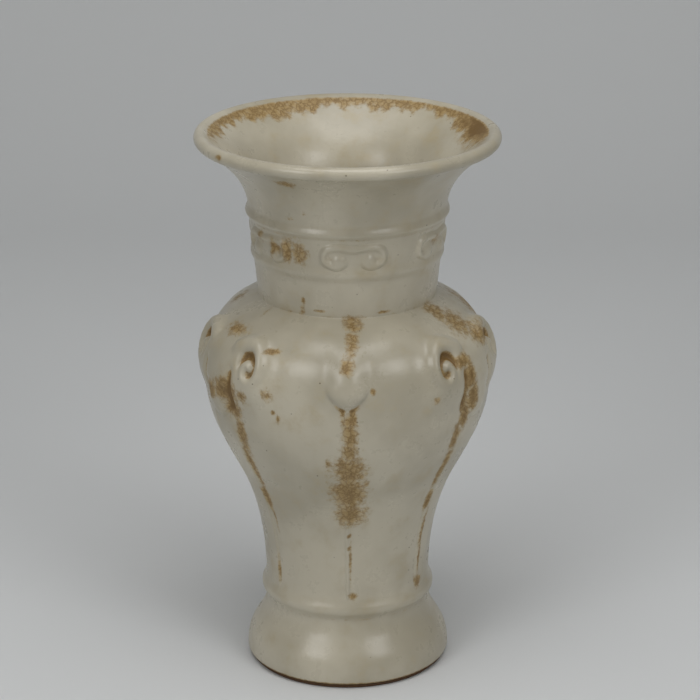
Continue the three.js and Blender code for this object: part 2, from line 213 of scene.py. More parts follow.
# Burial stains and kiln marks: angle in degrees, height, half width and half length in mm,
# and strength
stainMarks = [
    (60, 207, 7, 5, 0.75), (63, 202, 10, 6, 0.8), (69, 195, 9, 6, 0.75), (-59, 200, 7.5, 2.8, 0.8), (-54, 209, 1.6, 2.6, 0.5),
    (-33, 196, 4, 1.3, 0.9), (-33, 174, 3.4, 4, 0.7), (-30, 165, 1.2, 1.4, 0.85), (-28, 162, 1.1, 2.4, 0.8),
    (-53, 171, 9, 6, 1.1), (-63, 168, 7, 5, 0.95), (-44, 171, 4, 4, 0.8), (-50, 161, 6, 6, 0.85), (-48, 147, 3.6, 12, 0.85),
    (-50, 124, 2.4, 16, 0.8), (-51, 105, 2.2, 7, 0.9), (-50, 91, 1, 9, 0.66), (-54, 60, 1, 10, 0.66), (36, 171, 2.2, 2.4, 0.7),
    (50, 188, 6, 3.6, 1.0), (53.5, 179, 3.6, 8, 1.0), (55, 167, 3.8, 9, 1.05), (53, 156, 3.6, 8, 0.95), (50, 144, 3, 10, 0.85),
    (51, 124, 2, 15, 0.8), (52, 103, 2.2, 7, 0.9), (55, 84, 1.3, 13, 0.8), (56, 66, 1.2, 12, 0.75), (57, 51, 2.6, 4, 0.95),
    (10, 180, 1.5, 2, 0.85), (3, 209, 5, 3.4, 0.8), (2, 202, 3.6, 6, 0.75), (0, 193, 4, 4.4, 0.8), (1, 164, 4, 4, 0.95),
    (1, 156, 4.4, 9, 0.9), (1, 146, 4.6, 8, 0.8), (1, 133, 8, 11, 0.88), (1, 117, 9, 12, 0.92), (1, 103, 8.5, 8, 0.86),
    (9, 124, 2, 3, 0.7), (-8, 138, 2.4, 5, 0.6), (1, 88, 1.4, 1.6, 0.8), (1, 80, 1.1, 1.3, 0.85), (2, 70, 0.9, 16, 0.6),
    (4, 50.5, 2.6, 2.6, 0.95), (-28, 219, 1.3, 1.5, 0.85), (-29, 213, 1.8, 4, 0.6), (-17, 214, 3.6, 0.9, 0.8),
    (23, 213, 3.6, 0.9, 0.85), (6, 225, 0.9, 0.9, 0.7), (-37, 246, 3.4, 8, 0.8), (-29, 245, 5, 7, 0.75), (-47, 245, 3, 4.5, 0.7),
    (-60, 250, 3, 3, 0.6), (63, 246, 4, 4, 0.5), (-34, 264, 3, 1.4, 0.6), (-27, 287, 6, 2.2, 0.75), (-54, 297, 2.4, 1.4, 0.8),
    (-24, 268, 1, 3, 0.5), (100, 200, 12, 9, 0.7), (140, 208, 8, 4, 0.7), (-118, 196, 9, 6, 0.7), (-150, 190, 4, 3, 0.8),
    (121, 128, 7, 22, 0.8), (-119, 125, 6, 22, 0.8), (175, 104, 2, 4, 0.9), (-95, 205, 7, 3, 0.65), (157, 286, 5, 4, 0.6),
    (95, 232, 6, 4, 0.6), (-140, 246, 4, 7, 0.7), (128, 24, 7, 6, 0.5), (171, 50, 2.2, 2.6, 0.85), (-116, 50, 2, 3, 0.8),
    (172, 168, 5, 10, 0.9), (-170, 172, 6, 6, 0.8),
]


# Stain at each point, with painted shade lines under the beads and in the neck's corner
def stainAndShadeAt(points):
    angle = np.degrees(np.arctan2(points[:, 0], -points[:, 1]))
    radius = np.hypot(points[:, 0], points[:, 1])
    total = np.zeros(len(points))
    for turn, height, halfWidth, halfLength, strength in stainMarks:
        away = (angle - turn + 180) % 360 - 180
        run = np.radians(away) * radius / (halfWidth * mm)
        rise = (points[:, 2] - height * mm) / (halfLength * mm)
        total = np.maximum(total, strength * np.exp(-0.7 * (run ** 2 + rise ** 2)))
    # fine dark lines: painted shade under each bead and in the neck's corner, where shadow falls, and a dark line along
    # the foot's bottom edge
    shadeAndFootLines = [(centre - 2.9 * mm, 0.35) for centre in beadCentres]
    shadeAndFootLines += [(waistCentre - 5.2 * mm, 0.42), (shoulderTop + 0.6 * mm, 0.3), (footBottom + 0.6 * mm, 0.9)]
    for height, strength in shadeAndFootLines:
        total = np.maximum(total, strength * np.exp(-(((points[:, 2] - height) / (0.8 * mm)) ** 2)))
    return total


def bodyRows():
    s = vaseShape
    outside = outsideCurve()
    for centre in beadCentres:
        outside = addBead(outside, centre, *s["neckBead"])
    outside = softened(addBead(outside, waistCentre, *s["waistBead"]), 2)
    along = np.gradient(wallCurve, axis=0)
    along /= np.linalg.norm(along, axis=1)[:, None]
    offWall = np.stack([-along[:, 1], along[:, 0]], 1)
    inside = (wallCurve + offWall * s["wall"])[::-1][::3]
    inside = inside[(inside[:, 1] > floorTop + 3 * mm) & (inside[:, 1] < lipTop - s["lipReach"])]
    lipArc = np.radians(np.linspace(-95, s["lipTurn"], 22))
    lip = np.stack([
        rimRadius - s["lipRoll"] + s["lipRoll"] * np.cos(lipArc),
        lipTop - s["lipRoll"] + s["lipRoll"] * np.sin(lipArc),
    ], 1)
    inward = np.array([-math.sin(lipArc[-1]), math.cos(lipArc[-1])])
    downward = inside[1] - inside[0]
    downward /= np.linalg.norm(downward)
    throat = bezier(lip[-1], lip[-1] + 4 * mm * inward, inside[0] - 5 * mm * downward, inside[0], 18)[1:]
    inside = np.vstack([throat, inside])
    bore = inside[-1, 0]
    cove = np.radians(np.linspace(0, -90, 6))
    corner = np.stack([bore - 3 * mm + 3 * mm * np.cos(cove), floorTop + 3 * mm + 3 * mm * np.sin(cove)], 1)
    floor = np.stack([np.linspace(bore - 3 * mm, 0, 12)[1:], np.full(11, floorTop)], 1)
    footWall = wallCurve[wallCurve[:, 1] < footTop - 2 * mm]
    recess = footWall[::-1][::2].copy()
    recess[:, 0] -= s["footWall"]
    ceiling = np.stack([np.linspace(0, recess[0, 0], 10)[:-1], np.full(9, footTop)], 1)
    edgeArc = np.radians(np.linspace(-90, 0, 7))[:-1]
    edgeCentre = (footRadius - s["footEdgeRound"], footBottom + s["footEdgeRound"])
    edge = np.stack([
        edgeCentre[0] + s["footEdgeRound"] * np.cos(edgeArc),
        edgeCentre[1] + s["footEdgeRound"] * np.sin(edgeArc),
    ], 1)
    sole = np.array([[recess[-1, 0], footBottom]])
    under = np.vstack([ceiling, recess, sole])
    shown = np.vstack([edge, outside, lip])
    hidden = np.vstack([inside, corner, floor])
    return under, shown, hidden


def latheFaces(rowCount, columns):
    faces = []
    for row in range(rowCount - 3):
        for column in range(columns):
            after = (column + 1) % columns
            low = 1 + row * columns
            high = low + columns
            faces.append((low + column, low + after, high + after, high + column))
    last = 1 + (rowCount - 2) * columns
    top = last - columns
    for column in range(columns):
        after = (column + 1) % columns
        faces.append((0, 1 + after, 1 + column))
        faces.append((last, top + column, top + after))
    return faces


def buildBody():
    under, shown, hidden = bodyRows()
    rows = np.vstack([under, shown, hidden])
    columns = vaseShape["columns"]
    angles = np.linspace(0, 2 * math.pi, columns, endpoint=False)
    ring = np.stack([np.sin(angles), -np.cos(angles)], 1)
    middle = rows[1:-1]
    rounds = np.empty((len(middle), columns, 3))
    rounds[:, :, :2] = middle[:, None, :1] * ring[None]
    rounds[:, :, 2] = middle[:, 1:2]
    ends = [np.array([[0, 0, rows[0, 1]]]), np.array([[0, 0, rows[-1, 1]]])]
    points = np.vstack([ends[0], rounds.reshape(-1, 3), ends[1]])
    body = makeObject("glazed_body", bendByHand(points), latheFaces(len(rows), columns))
    points = meshPoints(body)
    stainAndShade = stainAndShadeAt(points)
    firstShown = 1 + (len(under) - 1) * columns
    firstHidden = firstShown + len(shown) * columns
    angle = np.degrees(np.arctan2(points[:, 0], -points[:, 1]))
    back = smoothStep((np.abs(angle) - 68) / 30)
    turn = np.radians(angle)
    wander = sum(size * mm * np.sin(turn * waves + waves) for waves, size in ((3, 1.2), (7, 1.1), (23, 0.9), (53, 0.9)))
    depth = lipTop - points[:, 2]
    top = smoothStep((depth - 0.7 * mm) / (1.2 * mm))
    band = top * smoothStep((9.5 * mm + wander - depth) / (6 * mm))
    corner = np.exp(-(((angle - 100) / 18) ** 2)) * smoothStep((20 * mm - depth) / (10 * mm))
    inner = 0.8 * back * band + 0.45 * corner * top
    stainAndShade[firstHidden:] = inner[firstHidden:]
    stainAndShade[:firstShown] = 0.15
    storeValue(body, "stainAndShade", stainAndShade)
    return body


def blurred(values, spread, spacing):
    reach = max(int(3 * spread / spacing), 1)
    kernel = np.exp(-0.5 * (np.arange(-reach, reach + 1) * spacing / spread) ** 2)
    kernel /= kernel.sum()
    padded = np.pad(values, reach, mode="edge")
    padded = np.apply_along_axis(lambda line: np.convolve(line, kernel, "valid"), 0, padded)
    return np.apply_along_axis(lambda line: np.convolve(line, kernel, "valid"), 1, padded)


def reliefPatch(name, halfWidth, low, high, spacing, lift, skin, glazeRound, shade=None):
    runs = np.linspace(-halfWidth, halfWidth, int(2 * halfWidth / spacing) + 1)
    heights = np.linspace(low, high, int((high - low) / spacing) + 1)
    run, height = np.meshgrid(runs, heights)
    raised = blurred(np.maximum(lift(run, height), 0), glazeRound, spacing)
    recess = blurred(raised, 2.4 * mm, spacing) - raised
    margin = np.minimum(halfWidth - np.abs(run), np.minimum(height - low, high - height))
    border = np.clip(1 - margin / (8 * mm), 0, 1) ** 3
    front = onWall(run, height, raised + skin - 0.6 * mm * border)
    back = onWall(run, height, np.full(run.shape, -2.2 * mm))
    rows, columns = run.shape
    index = np.arange(rows * columns).reshape(rows, columns)
    quads = [np.stack([index[:-1, :-1], index[:-1, 1:], index[1:, 1:], index[1:, :-1]], -1).reshape(-1, 4)]
    quads.append(quads[0][:, ::-1] + rows * columns)
    loop = np.concatenate([index[0, :-1], index[:-1, -1], index[-1, :0:-1], index[:0:-1, 0]])
    nextLoop = np.roll(loop, -1)
    quads.append(np.stack([loop + rows * columns, nextLoop + rows * columns, nextLoop, loop], -1))
    points = np.vstack([front.reshape(-1, 3), back.reshape(-1, 3)])
    patch = makeObject(name, points, np.vstack(quads).tolist())
    # hollows darkened: dirt lies in them, and where the shade function adds it, as under the bosses, painted shadow
    hollowDirtAndShade = np.clip(recess / (0.9 * mm), 0, 1) * (shade(run, height) if shade else 0.35)
    storeValue(patch, "recess", np.concatenate([hollowDirtAndShade.ravel(), np.zeros(rows * columns)]))
    return patch


ramHead = {
    "centre": 176 * mm,
    "upper": 29 * mm,
    "lower": 23 * mm,
    "brow": 16 * mm,
    "cheek": 12.2 * mm,
    "muzzle": 9 * mm,
    "browLift": 5.0 * mm,
    "muzzleLift": 5.3 * mm,
    "browSlope": 21 * mm,
    "eye": (10.2 * mm, -5 * mm, 2.9 * mm, 2.2 * mm),    # spread, height, radius, depth
    "nostril": (3.2 * mm, -17 * mm, 1.1 * mm, 0.8 * mm),
    "mouthLine": (-19.5 * mm, 0.9 * mm, 0.6 * mm),
    "forelock": (17 * mm, 3.2 * mm),
}
ramHorn = {
    "spread": 24.8 * mm,
    "rise": 10.5 * mm,
    "half": (8.2 * mm, 10.4 * mm),
    "sag": 3 * mm,
    "shrink": 0.8,
    "start": math.radians(140),
    "turn": math.radians(430),
    "lead": 5 * mm,
    "root": 4.3 * mm,
    "tip": 2.4 * mm,
    "lift": 6.2 * mm,
    "growthRings": 15,
    "ringDepth": 0.1 * mm,
}


def faceLift(run, height):
    h = ramHead
    rise = height - h["centre"]
    lower = blend(h["cheek"], h["muzzle"], smoothStep(-rise / (0.8 * h["lower"])))
    upper = blend(h["cheek"], h["brow"], smoothStep(rise / (0.6 * h["upper"])))
    end = np.where(rise < 0, -rise / h["lower"], rise / h["upper"])
    halfWidth = np.where(rise < 0, lower, upper) * np.sqrt(np.clip(1 - end ** 6, 1e-6, 1))
    crown = blend(h["browLift"], h["muzzleLift"], smoothStep(0.5 - rise / (2 * h["lower"])))
    fade = 1 - smoothStep((rise - h["upper"] + h["browSlope"]) / h["browSlope"])
    chin = np.sqrt(1 - np.clip(-rise / h["lower"], 0, 1) ** 5)
    across = np.clip(np.abs(run) / halfWidth, 0, 1)
    face = crown * fade * chin * np.sqrt(1 - across ** 3)
    spread, drop, radius, depth = h["eye"]
    away = np.hypot(np.abs(run) - spread, (rise - drop) * 1.2) / radius
    face -= depth * np.exp(-away ** 2)
    face += 1.4 * mm * np.exp(-((away / 0.4) ** 2))
    brow = np.hypot((np.abs(run) - 8.6 * mm) / (5 * mm), (rise + 0.4 * mm + 0.25 * (np.abs(run) - 8 * mm)) / (1.7 * mm))
    face += 0.9 * mm * np.exp(-brow ** 2)
    spread, drop, radius, depth = h["nostril"]
    face -= depth * np.exp(-(np.hypot(np.abs(run) - spread, rise - drop) / radius) ** 2)
    drop, width, depth = h["mouthLine"]
    curve = rise - drop + 0.02 * run ** 2 / mm
    face -= depth * np.exp(-(curve / width) ** 2) * (np.abs(run) < 6 * mm)
    return np.where((across < 1) & (np.abs(end) < 1), np.maximum(face, 0), 0)


def hornLift(run, height):
    h = ramHorn
    share = np.linspace(0, 1, 150)
    angle = h["start"] - share * h["turn"]
    shrink = 1 - h["shrink"] * share ** 1.4
    lead = h["lead"] * np.clip(1 - share / 0.15, 0, 1) ** 2
    runs = h["spread"] + h["half"][0] * shrink * np.cos(angle) - lead
    heights = ramHead["centre"] + h["rise"] - h["sag"] * share + h["half"][1] * shrink * np.sin(angle)
    radii = blend(h["root"], h["tip"], share)
    lifts = blend(h["lift"], 0.8 * h["lift"], share)
    lifts = lifts - h["ringDepth"] * (1 + np.cos(share * h["growthRings"] * 2 * math.pi))
    best = np.zeros(run.shape)
    for index in range(len(share)):
        gap = ((np.abs(run) - runs[index]) ** 2 + (height - heights[index]) ** 2) / radii[index] ** 2
        best = np.maximum(best, lifts[index] * np.sqrt(np.clip(1 - gap, 0, 1)))
    return best


# How far inside the ring of a horn a point lies: 1 at its middle, 0 at its centre line
def insideHorn(run, height):
    h = ramHorn
    across = (np.abs(run) - h["spread"]) / h["half"][0]
    up = (height - ramHead["centre"] - h["rise"]) / h["half"][1]
    return np.clip(1 - np.hypot(across, up), 0, 1)


# Broad soft clay under the horns
temple = {
    "lift": 5.5 * mm,
    "reach": 26 * mm,
    "fade": 18 * mm,
    "foot": 155 * mm,
    "footFade": 22 * mm,
    "crest": 187 * mm,
    "crestFade": 21 * mm,
    "hollow": 3.6 * mm,
}


def templeLift(run, height):
    t = temple
    inward = 1 - smoothStep((np.abs(run) - t["reach"]) / t["fade"])
    above = smoothStep((height - t["foot"]) / t["footFade"])
    below = 1 - smoothStep((height - t["crest"]) / t["crestFade"])
    mound = t["lift"] * inward * above * below
    return np.maximum(mound - t["hollow"] * smoothStep(2.8 * insideHorn(run, height)), 0)


def softMax(a, b, round):
    return 0.5 * (a + b + np.sqrt((a - b) ** 2 + round ** 2) - round)


def headLift(run, height):
    face = faceLift(run, height)
    horns = hornLift(run, height)
    rise = height - ramHead["centre"]
    groove = np.exp(-(((np.abs(run) - 12.6 * mm) / (1.5 * mm)) ** 2))
    groove *= smoothStep((rise + 20 * mm) / (6 * mm)) * smoothStep((10 * mm - rise) / (6 * mm))
    mass = softMax(face, templeLift(run, height), 1.2 * mm)
    return softMax(mass, horns, 0.9 * mm) - 1.7 * mm * groove


# Where brown stain lies thick on a head: inside the horns, in the eyes and beside the muzzle
def headShade(run, height):
    rise = height - ramHead["centre"]
    inHorn = smoothStep(3 * insideHorn(run, height)) * (0.6 + 0.5 * smoothStep((rise - 8 * mm) / (8 * mm)))
    besideFace = np.exp(-(((np.abs(run) - 12.5 * mm) / (3 * mm)) ** 2)) * smoothStep((10 * mm - rise) / (8 * mm))
    return np.clip(0.08 + inHorn + 0.95 * besideFace, 0, 1.3)


leg = {"top": 12.5 * mm, "foot": 8.5 * mm, "lift": 1.3 * mm, "seam": 1.5 * mm, "seamLift": 0.9 * mm}


def legLift(run, height):
    top = ramHead["centre"] - ramHead["lower"]
    low = waistCentre + 5 * mm
    halfWidth = blend(leg["foot"], leg["top"], smoothStep((height - low) / (top - low)))
    across = np.clip(np.abs(run) / halfWidth, 0, 1)
    strap = leg["lift"] * (1 - across ** 8) * (0.7 + 0.3 * across ** 4)    # flat strap with raised edges
    return strap * smoothStep((top + 8 * mm - height) / (9 * mm))


boss = {
    "height": 182 * mm,
    "halfWidth": 12.5 * mm,
    "spread": 3 * mm,
    "tip": 12.5 * mm,
    "lift": 3.8 * mm,
    "fadeLength": 25 * mm,
    "fadePower": 1.7,
}


def bossLift(run, height):
    b = boss
    rise = height - b["height"]
    fade = smoothStep(rise / b["fadeLength"])
    tip = np.clip(-rise / b["tip"], 0, 1)
    pointed = b["halfWidth"] * (1 - tip ** 1.4) ** 0.8
    halfWidth = np.where(rise > 0, b["halfWidth"] + b["spread"] * fade, pointed)
    crown = np.where(rise > 0, b["lift"] * (1 - fade), b["lift"] * (1 - tip ** 3))
    across = np.clip(np.abs(run) / np.maximum(halfWidth, 0.1 * mm), 0, 1)
    power = blend(0.5, b["fadePower"], smoothStep((rise + 0.5 * b["tip"]) / (0.9 * b["tip"])))
    drop = crown * (1 - across ** 2) ** power
    seam = leg["seamLift"] * np.sqrt(np.clip(1 - (run / leg["seam"]) ** 2, 0, 1))
    return np.where(height < b["height"] - b["tip"] + 1 * mm, np.maximum(seam, drop), drop)


# Painted shadow: brown painted in the sharp corner under a boss, where its shadow falls, over a little dirt in its
# hollows
def bossPaintedShadow(run, height):
    below = height - boss["height"] + boss["tip"]
    return 0.15 + 1.6 * np.exp(-((run / (6 * mm)) ** 2) - (below / (5 * mm)) ** 2)


cloudScroll = {
    "centre": neckTop - 12.8 * mm,
    "half": (15.4 * mm, 5.8 * mm),
    "roll": 1.9 * mm,
    "lobe": 4.2 * mm,
    "lift": 1.7 * mm,
    "turn": math.radians(3.75),
}


def splinePoints(knots, steps):
    knots = np.array([knots[0], *knots, knots[-1]], float)
    line = []
    for i in range(1, len(knots) - 2):
        a, b, c, d = knots[i - 1:i + 3]
        for t in np.linspace(0, 1, steps, endpoint=False):
            line.append(0.5 * (2 * b + (c - a) * t + (2 * a - 5 * b + 4 * c - d) * t * t
                               + (3 * b - a - 3 * c + d) * t ** 3))
    line.append(knots[-2])
    return np.array(line)


def cloudLift(run, height):
    c = cloudScroll
    wide, tall = c["half"]
    right = [(0, 0.8 * tall), (0.6 * wide, tall), (0.96 * wide, 0.65 * tall), (wide, -0.35 * tall),
             (0.66 * wide, -0.8 * tall), (0.5 * wide, -0.45 * tall)]
    line = splinePoints(right, 12)
    share = np.linspace(0, 1, len(line))
    radii = blend(c["roll"], c["lobe"], smoothStep(share * 3 - 2))
    scale = bellyRadius / wallRadius(c["centre"])    # runs are measured at the belly
    best = np.zeros(run.shape)
    for (x, z), radius in zip(line, radii):
        gap = ((np.abs(run) / scale - x) ** 2 + (height - c["centre"] - z) ** 2) / radius ** 2
        best = np.maximum(best, c["lift"] * np.sqrt(np.clip(1 - gap, 0, 1)))
    return best


# Tree that sets copies of a relief round the vase's axis
def ringTree():
    tree = bpy.data.node_groups.new("reliefs_round_vase", "GeometryNodeTree")
    tree.interface.new_socket("Relief", in_out="INPUT", socket_type="NodeSocketGeometry")
    tree.interface.new_socket("Count", in_out="INPUT", socket_type="NodeSocketInt")
    tree.interface.new_socket("First Angle", in_out="INPUT", socket_type="NodeSocketFloat")
    tree.interface.new_socket("Glaze", in_out="INPUT", socket_type="NodeSocketMaterial")
    tree.interface.new_socket("Reliefs", in_out="OUTPUT", socket_type="NodeSocketGeometry")
    given = addNode(tree, "NodeGroupInput").outputs
    places = addNode(tree, "GeometryNodePoints", {"Count": given["Count"]})
    index = addNode(tree, "GeometryNodeInputIndex")
    pitch = addNode(tree, "ShaderNodeMath", {0: 2 * math.pi, 1: given["Count"]}, operation="DIVIDE")
    turn = addNode(
        tree, "ShaderNodeMath",
        {0: index.outputs[0], 1: pitch.outputs[0], 2: given["First Angle"]}, operation="MULTIPLY_ADD",
    )
    spin = addNode(tree, "ShaderNodeCombineXYZ", {"Z": turn.outputs[0]})
    copies = addNode(
        tree, "GeometryNodeInstanceOnPoints",
        {"Points": places.outputs[0], "Instance": given["Relief"], "Rotation": spin.outputs[0]},
    )
    real = addNode(tree, "GeometryNodeRealizeInstances", {"Geometry": copies.outputs[0]})
    painted = addNode(tree, "GeometryNodeSetMaterial", {"Geometry": real.outputs[0], "Material": given["Glaze"]})
    addNode(tree, "NodeGroupOutput", {"Reliefs": painted.outputs[0]})
    return tree


def setRound(patch, tree, count, firstAngle, material):
    modifier = patch.modifiers.new("round", "NODES")
    modifier.node_group = tree
    values = {"Count": count, "First Angle": firstAngle, "Glaze": material}
    for item in tree.interface.items_tree:
        if item.in_out == "INPUT" and item.name in values:
            modifier[item.identifier] = values[item.name]
    seen = patch.evaluated_get(bpy.context.evaluated_depsgraph_get())
    plain = bpy.data.meshes.new_from_object(seen)
    patch.modifiers.remove(modifier)
    patch.data = plain
    points = bendByHand(meshPoints(patch))
    plain.vertices.foreach_set("co", points.ravel())
    plain.update()
    storeValue(patch, "stainAndShade", stainAndShadeAt(points))
    return patch


# Ivory glaze: feldspar glaze fired thick over stoneware. It gives the eye a soft satin
# gloss, cloudy ivory and grey patches, and tan stains with darker loops in them.
glazeLook = {
    "ivory": "#c2bba8",
    "grey": "#ada693",
    "warm": "#b2a484",
    "tan": "#ab9160",
    "brown": "#6a4c1c",
    "speck": "#4a3c26",
    "cloudSize": 55 * mm,
    "patchSize": 14 * mm,
    "speckSize": 7 * mm,
    "loopSize": 3.4 * mm,
    "peelSize": 2.6 * mm,
    "roughness": 0.27,
}


def glazeMaterial(name, look, hollowDirtAndShadeStrength):
    material = bpy.data.materials.new(name)
    material.use_nodes = True
    tree = material.node_tree
    tree.nodes.clear()
    here = addNode(tree, "ShaderNodeTexCoord").outputs["Object"]
    clouds = addNode(tree, "ShaderNodeTexNoise", {"Vector": here, "Scale": 1 / look["cloudSize"], "Detail": 4.0})
    patches = addNode(
        tree, "ShaderNodeTexNoise",
        {"Vector": here, "Scale": 1 / look["patchSize"], "Detail": 6.0, "Roughness": 0.62},
    )
    fine = addNode(
        tree, "ShaderNodeTexNoise",
        {"Vector": here, "Scale": 1 / (0.22 * look["patchSize"]), "Detail": 5.0, "Roughness": 0.7},
    )
    greyShare = addNode(
        tree, "ShaderNodeMapRange", {"Value": clouds.outputs["Fac"], "From Min": 0.38, "From Max": 0.66},
        interpolation_type="SMOOTHSTEP",
    )
    base = addNode(
        tree, "ShaderNodeMix",
        {0: greyShare.outputs[0], 6: toLinear(look["ivory"]), 7: toLinear(look["grey"])}, data_type="RGBA",
    )
    warmShare = addNode(
        tree, "ShaderNodeMapRange",
        {"Value": patches.outputs["Fac"], "From Min": 0.5, "From Max": 0.78, "To Max": 0.6},
        interpolation_type="SMOOTHSTEP",
    )
    warmed = addNode(
        tree, "ShaderNodeMix",
        {0: warmShare.outputs[0], 6: base.outputs[2], 7: toLinear(look["warm"])}, data_type="RGBA",
    )
    specks = addNode(tree, "ShaderNodeTexVoronoi", {"Vector": here, "Scale": 1 / look["speckSize"]})
    speckSize = addNode(
        tree, "ShaderNodeMapRange",
        {"Value": specks.outputs["Distance"], "From Min": 0.03, "From Max": 0.08, "To Min": 0.8, "To Max": 0.0},
    )
    chosen = addNode(tree, "ShaderNodeSeparateColor", {"Color": specks.outputs["Color"]})
    some = addNode(tree, "ShaderNodeMath", {0: chosen.outputs[0], 1: 0.72}, operation="GREATER_THAN")
    speckShare = addNode(tree, "ShaderNodeMath", {0: speckSize.outputs[0], 1: some.outputs[0]}, operation="MULTIPLY")
    speckled = addNode(
        tree, "ShaderNodeMix",
        {0: speckShare.outputs[0], 6: warmed.outputs[2], 7: toLinear(look["speck"])}, data_type="RGBA",
    )
    # stain value: real stains, plus painted shade lines under the beads and in the neck's corner
    stainAndShade = addNode(tree, "ShaderNodeAttribute", attribute_name="stainAndShade")
    recess = addNode(tree, "ShaderNodeAttribute", attribute_name="recess")
    # hollows add their dirt, and the bosses' painted shadow, to the stain value
    hollowDirtAndShade = addNode(
        tree, "ShaderNodeMath", {0: recess.outputs["Fac"], 1: hollowDirtAndShadeStrength, 2: stainAndShade.outputs["Fac"]},
        operation="MULTIPLY_ADD",
    )
    broken = addNode(
        tree, "ShaderNodeMath", {0: fine.outputs["Fac"], 1: 1.1, 2: hollowDirtAndShade.outputs[0]}, operation="MULTIPLY_ADD",
    )
    brokenWide = addNode(
        tree, "ShaderNodeMath", {0: patches.outputs["Fac"], 1: 0.5, 2: broken.outputs[0]}, operation="MULTIPLY_ADD",
    )
    tanShare = addNode(
        tree, "ShaderNodeMapRange",
        {"Value": brokenWide.outputs[0], "From Min": 1.02, "From Max": 1.6, "To Max": 0.95},
        interpolation_type="SMOOTHSTEP",
    )
    tanned = addNode(
        tree, "ShaderNodeMix",
        {0: tanShare.outputs[0], 6: speckled.outputs[2], 7: toLinear(look["tan"])}, data_type="RGBA",
    )
    # crusty loops run through the stains: cell edges, pushed about by the fine noise
    pushed = addNode(
        tree, "ShaderNodeVectorMath", {0: fine.outputs["Color"], 1: (1.7 * look["loopSize"],) * 3}, operation="MULTIPLY",
    )
    moved = addNode(tree, "ShaderNodeVectorMath", {0: here, 1: pushed.outputs[0]}, operation="ADD")
    cells = addNode(
        tree, "ShaderNodeTexVoronoi", {"Vector": moved.outputs[0], "Scale": 1 / look["loopSize"]},
        feature="DISTANCE_TO_EDGE",
    )
    loops = addNode(
        tree, "ShaderNodeMapRange",
        {"Value": cells.outputs["Distance"], "From Min": 0.0, "From Max": 0.2, "To Min": 0.75, "To Max": 0.0},
    )
    loopShare = addNode(tree, "ShaderNodeMath", {0: loops.outputs[0], 1: tanShare.outputs[0]}, operation="MULTIPLY")
    deepShare = addNode(
        tree, "ShaderNodeMapRange",
        {"Value": brokenWide.outputs[0], "From Min": 1.45, "From Max": 2.0, "To Max": 0.85},
        interpolation_type="SMOOTHSTEP",
    )
    brownShare = addNode(tree, "ShaderNodeMath", {0: loopShare.outputs[0], 1: deepShare.outputs[0]}, operation="MAXIMUM")
    finished = addNode(
        tree, "ShaderNodeMix",
        {0: brownShare.outputs[0], 6: tanned.outputs[2], 7: toLinear(look["brown"])}, data_type="RGBA",
    )
    gloss = addNode(
        tree, "ShaderNodeMapRange",
        {"Value": patches.outputs["Fac"], "To Min": look["roughness"] - 0.06, "To Max": look["roughness"] + 0.1},
    )
    rough = addNode(
        tree, "ShaderNodeMath", {0: tanShare.outputs[0], 1: 0.28, 2: gloss.outputs[0]}, operation="MULTIPLY_ADD",
    )
    peel = addNode(tree, "ShaderNodeTexNoise", {"Vector": here, "Scale": 1 / look["peelSize"], "Detail": 2.0})
    crust = addNode(
        tree, "ShaderNodeMath", {0: brownShare.outputs[0], 1: 0.6, 2: peel.outputs["Fac"]}, operation="MULTIPLY_ADD",
    )
    skin = addNode(
        tree, "ShaderNodeBump", {"Strength": 0.25, "Distance": 0.25 * mm, "Height": crust.outputs[0]},
    )
    slow = addNode(
        tree, "ShaderNodeBump",
        {"Strength": 0.3, "Distance": 0.7 * mm, "Height": patches.outputs["Fac"], "Normal": skin.outputs[0]},
    )
    shader = addNode(
        tree, "ShaderNodeBsdfPrincipled",
        {"Base Color": finished.outputs[2], "Roughness": rough.outputs[0], "IOR": 1.5, "Normal": slow.outputs[0]},
    )
    addNode(tree, "ShaderNodeOutputMaterial", {"Surface": shader.outputs[0]})
    return material


# Bare stoneware: unglazed clay, wiped and burnt brown in the kiln. It gives the eye a dry
# grainy edge, darker in the pores.
clayLook = {"light": "#6b4c2e", "dark": "#33231a", "grain": 1.6 * mm, "roughness": 0.85}


def clayMaterial(name, look):
    material = bpy.data.materials.new(name)
    material.use_nodes = True
    tree = material.node_tree
    tree.nodes.clear()
    here = addNode(tree, "ShaderNodeTexCoord").outputs["Object"]
    grain = addNode(
        tree, "ShaderNodeTexNoise", {"Vector": here, "Scale": 1 / look["grain"], "Detail": 6.0, "Roughness": 0.7},
    )
    tone = addNode(
        tree, "ShaderNodeMix",
        {0: grain.outputs["Fac"], 6: toLinear(look["dark"]), 7: toLinear(look["light"])}, data_type="RGBA",
    )
    rough = addNode(
        tree, "ShaderNodeMapRange",
        {"Value": grain.outputs["Fac"], "To Min": look["roughness"] - 0.1, "To Max": look["roughness"] + 0.1},
    )
    pores = addNode(tree, "ShaderNodeBump", {"Strength": 0.6, "Distance": 0.3 * mm, "Height": grain.outputs["Fac"]})
    shader = addNode(
        tree, "ShaderNodeBsdfPrincipled",
        {"Base Color": tone.outputs[2], "Roughness": rough.outputs[0], "Normal": pores.outputs[0]},
    )
    addNode(tree, "ShaderNodeOutputMaterial", {"Surface": shader.outputs[0]})
    return material


